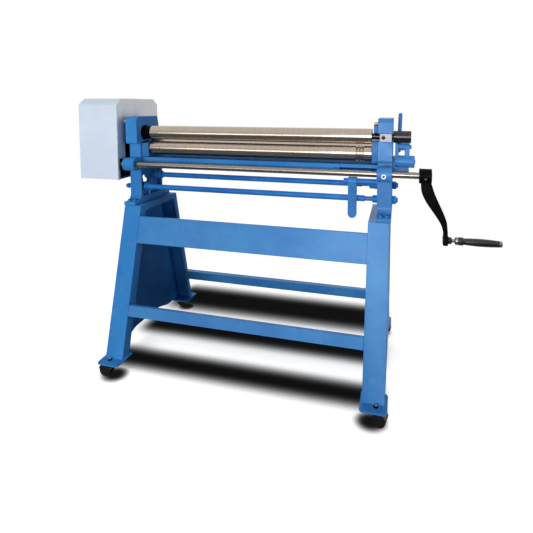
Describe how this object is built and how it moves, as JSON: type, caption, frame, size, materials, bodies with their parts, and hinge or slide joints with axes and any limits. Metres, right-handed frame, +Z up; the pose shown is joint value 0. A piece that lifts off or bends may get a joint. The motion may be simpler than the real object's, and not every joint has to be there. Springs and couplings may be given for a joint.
{
  "type": "slip roll machine",
  "caption": "Hand-cranked slip roll for bending sheet metal: three long steel rolls between cast heads on a folded stand with casters.",
  "frame": {"origin": "middle of the machine's outline, on the floor under the casters", "axes": "+X along the rolls towards the crank, +Y towards the back of the machine, +Z up"},
  "size_m": [1.753, 0.768, 1.15],
  "materials": {
    "blue_paint": "gloss enamel over plate and castings",
    "light_blue_paint": "gloss enamel on bearing blocks and guides",
    "cover_paint": "pale enamel on folded sheet",
    "grey_sheet": "grey coated sheet",
    "ground_steel": "fine ground roll surface",
    "bright_steel": "turned and zinc plated steel",
    "gear_steel": "dark oiled gear steel",
    "black_iron": "black painted casting",
    "black_plastic": "moulded black plastic",
    "caster_tread": "black caster wheels",
    "brass_strip": "plain brass strip"
  },
  "bodies": {
    "machine": {"left_stand_frame": "blue_paint", "right_stand_frame": "blue_paint", "front_apron": "blue_paint", "front_stretcher": "blue_paint", "rear_stretcher": "blue_paint", "left_head": "blue_paint", "right_head": "blue_paint", "guide_plate_lower": "light_blue_paint", "guide_plate_upper": "light_blue_paint", "guide_cap": "brass_strip", "reduction_stub": "bright_steel", "upper_bearing_cap": "blue_paint", "gear_cover": "cover_paint", "cover_back_plate": "grey_sheet", "tie_rod_front": "blue_paint", "tie_rod_rear": "blue_paint", "tie_rod_nut_front": "blue_paint", "tie_rod_nut_rear": "blue_paint", "tie_beam": "blue_paint", "lock_spring": "blue_paint", "spring_rod": "blue_paint", "release_bracket": "blue_paint"},
    "crank": {"crank_shaft": "bright_steel", "crank_arm": "black_iron", "grip_spindle": "bright_steel", "crank_pinion": "gear_steel"},
    "grip": {"crank_grip": "black_plastic"},
    "reduction": {"reduction_gear": "gear_steel"},
    "pinch_carriage": {"lower_block_left": "light_blue_paint", "lower_block_right": "light_blue_paint"},
    "lower_roll": {"lower_roll": "ground_steel", "lower_roll_gear": "gear_steel"},
    "pinch_nut_left": {"pinch_nut_left": "bright_steel"},
    "pinch_nut_right": {"pinch_nut_right": "bright_steel"},
    "upper_gear": {"upper_roll_gear": "gear_steel"},
    "upper_carrier": {"swivel_bearing": "black_iron", "slot_bearing_block": "bright_steel", "end_sleeve": "black_plastic"},
    "upper_roll": {"upper_roll": "ground_steel"},
    "rear_carriage": {"rear_block_left": "light_blue_paint", "rear_block_right": "light_blue_paint"},
    "rear_roll": {"rear_roll": "ground_steel"},
    "rear_nut_left": {"rear_nut_left": "bright_steel"},
    "rear_nut_right": {"rear_nut_right": "bright_steel"},
    "lock_lever": {"lock_shaft": "blue_paint", "strap_lever": "blue_paint"},
    "release_lever": {"release_lever": "blue_paint"},
    "caster_front_left": {"caster_body_front_left": "black_plastic"},
    "wheels_front_left": {"caster_wheels_front_left": "caster_tread"},
    "caster_front_right": {"caster_body_front_right": "black_plastic"},
    "wheels_front_right": {"caster_wheels_front_right": "caster_tread"},
    "caster_rear_left": {"caster_body_rear_left": "black_plastic"},
    "wheels_rear_left": {"caster_wheels_rear_left": "caster_tread"},
    "caster_rear_right": {"caster_body_rear_right": "black_plastic"},
    "wheels_rear_right": {"caster_wheels_rear_right": "caster_tread"}
  },
  "joints": [
    {"name": "crank_spin", "type": "hinge", "parent": "machine", "child": "crank", "pos_m": [0.6085, -0.14799, 0.8585], "axis": [1, 0, 0], "continuous": true},
    {"name": "crank_grip_spin", "type": "hinge", "parent": "crank", "child": "grip", "pos_m": [0.7945, -0.14799, 0.6225], "axis": [1, 0, 0], "continuous": true},
    {"name": "reduction_spin", "type": "hinge", "parent": "machine", "child": "reduction", "pos_m": [-0.7505, -0.07, 0.857], "axis": [1, 0, 0], "continuous": true},
    {"name": "pinch_lift", "type": "slide", "parent": "machine", "child": "pinch_carriage", "axis": [0, 0, 1], "range_m": [0, 0.004]},
    {"name": "lower_roll_spin", "type": "hinge", "parent": "pinch_carriage", "child": "lower_roll", "pos_m": [-0.0805, -0.07, 0.929], "axis": [1, 0, 0], "continuous": true},
    {"name": "pinch_nut_left_turn", "type": "hinge", "parent": "machine", "child": "pinch_nut_left", "pos_m": [-0.6115, -0.07, 0.86], "axis": [0, 0, 1], "range_deg": [-480, 0]},
    {"name": "pinch_nut_right_turn", "type": "hinge", "parent": "machine", "child": "pinch_nut_right", "pos_m": [0.4405, -0.07, 0.86], "axis": [0, 0, 1], "range_deg": [-480, 0]},
    {"name": "upper_gear_spin", "type": "hinge", "parent": "machine", "child": "upper_gear", "pos_m": [-0.7255, -0.07, 0.997], "axis": [1, 0, 0], "continuous": true},
    {"name": "roll_swing", "type": "hinge", "parent": "machine", "child": "upper_carrier", "pos_m": [-0.6305, -0.07, 0.997], "axis": [0, 0, 1], "range_deg": [-7, 0]},
    {"name": "upper_roll_spin", "type": "hinge", "parent": "upper_carrier", "child": "upper_roll", "pos_m": [-0.0805, -0.07, 0.997], "axis": [1, 0, 0], "continuous": true},
    {"name": "rear_lift", "type": "slide", "parent": "machine", "child": "rear_carriage", "axis": [0, 0, 1], "range_m": [0, 0.024]},
    {"name": "rear_roll_spin", "type": "hinge", "parent": "rear_carriage", "child": "rear_roll", "pos_m": [-0.0855, 0.012, 0.93], "axis": [1, 0, 0], "continuous": true},
    {"name": "rear_nut_left_turn", "type": "hinge", "parent": "machine", "child": "rear_nut_left", "pos_m": [-0.6115, 0.012, 0.86], "axis": [0, 0, 1], "range_deg": [-2880, 0]},
    {"name": "rear_nut_right_turn", "type": "hinge", "parent": "machine", "child": "rear_nut_right", "pos_m": [0.4405, 0.012, 0.86], "axis": [0, 0, 1], "range_deg": [-2880, 0]},
    {"name": "lock_lever_turn", "type": "hinge", "parent": "machine", "child": "lock_lever", "pos_m": [0.3445, -0.09, 0.818], "axis": [1, 0, 0], "range_deg": [-60, 0]},
    {"name": "release_lever_turn", "type": "hinge", "parent": "machine", "child": "release_lever", "pos_m": [0.5345, -0.07, 0.901], "axis": [1, 0, 0], "range_deg": [-50, 0]},
    {"name": "caster_swivel_front_left", "type": "hinge", "parent": "machine", "child": "caster_front_left", "pos_m": [-0.6255, -0.349, 0.05], "axis": [0, 0, 1], "continuous": true},
    {"name": "caster_wheels_front_left_spin", "type": "hinge", "parent": "caster_front_left", "child": "wheels_front_left", "pos_m": [-0.6395, -0.349, 0.024], "axis": [0, -1, 0], "continuous": true},
    {"name": "caster_swivel_front_right", "type": "hinge", "parent": "machine", "child": "caster_front_right", "pos_m": [0.4545, -0.349, 0.05], "axis": [0, 0, 1], "continuous": true},
    {"name": "caster_wheels_front_right_spin", "type": "hinge", "parent": "caster_front_right", "child": "wheels_front_right", "pos_m": [0.46829, -0.35143, 0.024], "axis": [0.1736, 0.9848, 0], "continuous": true},
    {"name": "caster_swivel_rear_left", "type": "hinge", "parent": "machine", "child": "caster_rear_left", "pos_m": [-0.6255, 0.349, 0.05], "axis": [0, 0, 1], "continuous": true},
    {"name": "caster_wheels_rear_left_spin", "type": "hinge", "parent": "caster_rear_left", "child": "wheels_rear_left", "pos_m": [-0.63902, 0.34538, 0.024], "axis": [0.2588, -0.9659, 0], "continuous": true},
    {"name": "caster_swivel_rear_right", "type": "hinge", "parent": "machine", "child": "caster_rear_right", "pos_m": [0.4545, 0.349, 0.05], "axis": [0, 0, 1], "continuous": true},
    {"name": "caster_wheels_rear_right_spin", "type": "hinge", "parent": "caster_rear_right", "child": "wheels_rear_right", "pos_m": [0.46845, 0.35022, 0.024], "axis": [-0.0872, 0.9962, 0], "continuous": true}
  ],
  "couplings": [
    {"joint": "reduction_spin", "follows": "crank_spin", "ratio": -0.3},
    {"joint": "lower_roll_spin", "follows": "crank_spin", "ratio": 0.375},
    {"joint": "upper_gear_spin", "follows": "crank_spin", "ratio": -0.375},
    {"joint": "upper_roll_spin", "follows": "crank_spin", "ratio": -0.375},
    {"joint": "pinch_nut_left_turn", "follows": "pinch_lift", "rad_per_m": -2094.4},
    {"joint": "pinch_nut_right_turn", "follows": "pinch_lift", "rad_per_m": -2094.4},
    {"joint": "rear_nut_left_turn", "follows": "rear_lift", "rad_per_m": -2094.4},
    {"joint": "rear_nut_right_turn", "follows": "rear_lift", "rad_per_m": -2094.4}
  ]
}
